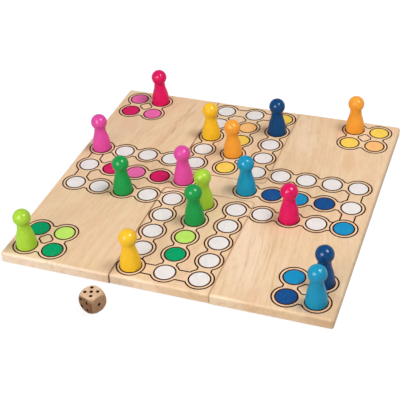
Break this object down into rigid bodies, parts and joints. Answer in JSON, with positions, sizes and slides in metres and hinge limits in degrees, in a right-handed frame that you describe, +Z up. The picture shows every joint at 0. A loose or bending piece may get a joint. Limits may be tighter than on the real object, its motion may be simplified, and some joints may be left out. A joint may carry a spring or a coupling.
{
  "type": "ludo board game",
  "caption": "Pale wooden ludo board with pull-out centre panels, printed play fields, coloured ball-head pawns and a round-cornered wooden die.",
  "frame": {"origin": "middle of the main board's underside", "axes": "+X along the front edge to the right, +Y to the back, +Z up out of the printed top"},
  "size_m": [0.275, 0.3112, 0.0444],
  "materials": {
    "board_wood": "matt clear varnish",
    "dowel_wood": "bare",
    "die_wood": "satin clear varnish",
    "crimson_lacquer": "gloss lacquer",
    "pink_lacquer": "gloss lacquer",
    "yellow_lacquer": "gloss lacquer",
    "orange_lacquer": "gloss lacquer",
    "lime_lacquer": "gloss lacquer",
    "green_lacquer": "gloss lacquer",
    "light_blue_lacquer": "gloss lacquer",
    "dark_blue_lacquer": "gloss lacquer"
  },
  "bodies": {
    "main_board": {"main_board": "board_wood"},
    "front_panel": {"front_panel": "board_wood", "front_dowel_left": "dowel_wood", "front_dowel_right": "dowel_wood"},
    "back_panel": {"back_panel": "board_wood", "back_dowel_left": "dowel_wood", "back_dowel_right": "dowel_wood"},
    "crimson_pawn_1": {"crimson_pawn_1": "crimson_lacquer"},
    "crimson_pawn_2": {"crimson_pawn_2": "crimson_lacquer"},
    "pink_pawn_1": {"pink_pawn_1": "pink_lacquer"},
    "pink_pawn_2": {"pink_pawn_2": "pink_lacquer"},
    "yellow_pawn_1": {"yellow_pawn_1": "yellow_lacquer"},
    "yellow_pawn_2": {"yellow_pawn_2": "yellow_lacquer"},
    "orange_pawn_1": {"orange_pawn_1": "orange_lacquer"},
    "orange_pawn_2": {"orange_pawn_2": "orange_lacquer"},
    "lime_pawn_1": {"lime_pawn_1": "lime_lacquer"},
    "lime_pawn_2": {"lime_pawn_2": "lime_lacquer"},
    "green_pawn_1": {"green_pawn_1": "green_lacquer"},
    "green_pawn_2": {"green_pawn_2": "green_lacquer"},
    "light_blue_pawn_1": {"light_blue_pawn_1": "light_blue_lacquer"},
    "light_blue_pawn_2": {"light_blue_pawn_2": "light_blue_lacquer"},
    "dark_blue_pawn_1": {"dark_blue_pawn_1": "dark_blue_lacquer"},
    "dark_blue_pawn_2": {"dark_blue_pawn_2": "dark_blue_lacquer"},
    "die": {"die": "die_wood"}
  },
  "joints": [
    {"name": "front_panel_pull", "type": "slide", "parent": "main_board", "child": "front_panel", "axis": [0, -1, 0], "range_m": [0, 0.012]},
    {"name": "back_panel_pull", "type": "slide", "parent": "main_board", "child": "back_panel", "axis": [0, 1, 0], "range_m": [0, 0.012]},
    {"name": "crimson_pawn_1_lift", "type": "slide", "parent": "main_board", "child": "crimson_pawn_1", "axis": [0, 0, 1], "range_m": [0, 0.05]},
    {"name": "crimson_pawn_2_lift", "type": "slide", "parent": "main_board", "child": "crimson_pawn_2", "axis": [0, 0, 1], "range_m": [0, 0.05]},
    {"name": "pink_pawn_1_lift", "type": "slide", "parent": "main_board", "child": "pink_pawn_1", "axis": [0, 0, 1], "range_m": [0, 0.05]},
    {"name": "pink_pawn_2_lift", "type": "slide", "parent": "main_board", "child": "pink_pawn_2", "axis": [0, 0, 1], "range_m": [0, 0.05]},
    {"name": "yellow_pawn_1_lift", "type": "slide", "parent": "back_panel", "child": "yellow_pawn_1", "axis": [0, 0, 1], "range_m": [0, 0.05]},
    {"name": "yellow_pawn_2_lift", "type": "slide", "parent": "front_panel", "child": "yellow_pawn_2", "axis": [0, 0, 1], "range_m": [0, 0.05]},
    {"name": "orange_pawn_1_lift", "type": "slide", "parent": "back_panel", "child": "orange_pawn_1", "axis": [0, 0, 1], "range_m": [0, 0.05]},
    {"name": "orange_pawn_2_lift", "type": "slide", "parent": "main_board", "child": "orange_pawn_2", "axis": [0, 0, 1], "range_m": [0, 0.05]},
    {"name": "lime_pawn_1_lift", "type": "slide", "parent": "front_panel", "child": "lime_pawn_1", "axis": [0, 0, 1], "range_m": [0, 0.05]},
    {"name": "lime_pawn_2_lift", "type": "slide", "parent": "main_board", "child": "lime_pawn_2", "axis": [0, 0, 1], "range_m": [0, 0.05]},
    {"name": "green_pawn_1_lift", "type": "slide", "parent": "main_board", "child": "green_pawn_1", "axis": [0, 0, 1], "range_m": [0, 0.05]},
    {"name": "green_pawn_2_lift", "type": "slide", "parent": "front_panel", "child": "green_pawn_2", "axis": [0, 0, 1], "range_m": [0, 0.05]},
    {"name": "light_blue_pawn_1_lift", "type": "slide", "parent": "main_board", "child": "light_blue_pawn_1", "axis": [0, 0, 1], "range_m": [0, 0.05]},
    {"name": "light_blue_pawn_2_lift", "type": "slide", "parent": "main_board", "child": "light_blue_pawn_2", "axis": [0, 0, 1], "range_m": [0, 0.05]},
    {"name": "dark_blue_pawn_1_lift", "type": "slide", "parent": "back_panel", "child": "dark_blue_pawn_1", "axis": [0, 0, 1], "range_m": [0, 0.05]},
    {"name": "dark_blue_pawn_2_lift", "type": "slide", "parent": "main_board", "child": "dark_blue_pawn_2", "axis": [0, 0, 1], "range_m": [0, 0.05]},
    {"name": "die_lift", "type": "slide", "parent": "main_board", "child": "die", "axis": [0, 0, 1], "range_m": [0, 0.05]}
  ]
}
